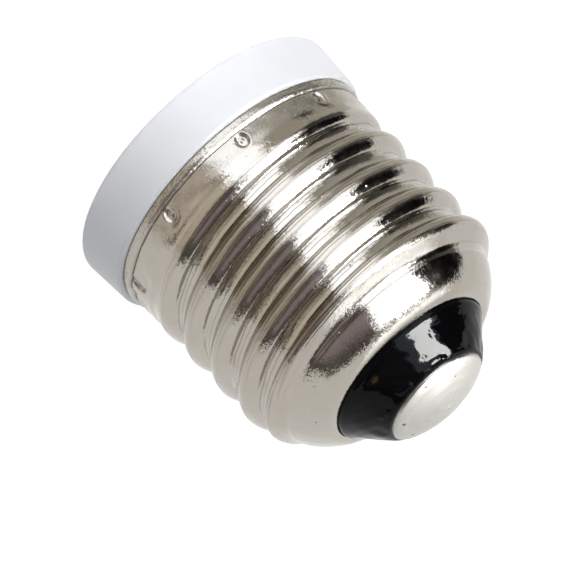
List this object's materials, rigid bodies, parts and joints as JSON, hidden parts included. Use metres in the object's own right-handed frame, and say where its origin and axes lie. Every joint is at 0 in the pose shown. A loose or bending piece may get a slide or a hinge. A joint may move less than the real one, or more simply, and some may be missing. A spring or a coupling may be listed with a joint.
{
  "type": "lamp socket adapter",
  "caption": "Lamp cap with a rolled screw shell, black glass insulator and domed end contact on a white moulded collar, holding a smaller screw socket with a sprung centre contact.",
  "frame": {"origin": "centre of the collar's mouth face, which the adapter stands on", "axes": "+Z along the axis from the socket's mouth to the end contact; -Y faces the picture's camera"},
  "size_m": [0.0278, 0.0278, 0.0326],
  "materials": {
    "nickel_shell": "bright nickel plate on rolled brass",
    "black_glass": "glossy opaque black glass",
    "tinned_contact": "satin tinned metal",
    "white_moulding": "satin white moulding",
    "nickel_inner": "nickel plate on rolled brass",
    "bronze_spring": "rolled phosphor bronze",
    "brass_fixings": "bright brass",
    "copper_lead": "bare copper"
  },
  "bodies": {
    "adapter": {"outer_screw_shell": "nickel_shell", "glass_insulator": "black_glass", "end_contact": "tinned_contact", "socket_housing": "white_moulding", "inner_screw_shell": "nickel_inner", "centre_rivet": "brass_fixings", "solder_tag": "brass_fixings", "shell_rivets": "brass_fixings", "centre_lead": "copper_lead", "side_lead": "copper_lead"},
    "contact_spring": {"centre_contact_spring": "bronze_spring"}
  },
  "joints": [
    {"name": "contact_press", "type": "slide", "parent": "adapter", "child": "contact_spring", "axis": [0, 0, 1], "range_m": [0, 0.0008], "stiffness_N_per_m": 5000, "deforming": ["centre_contact_spring"]}
  ]
}
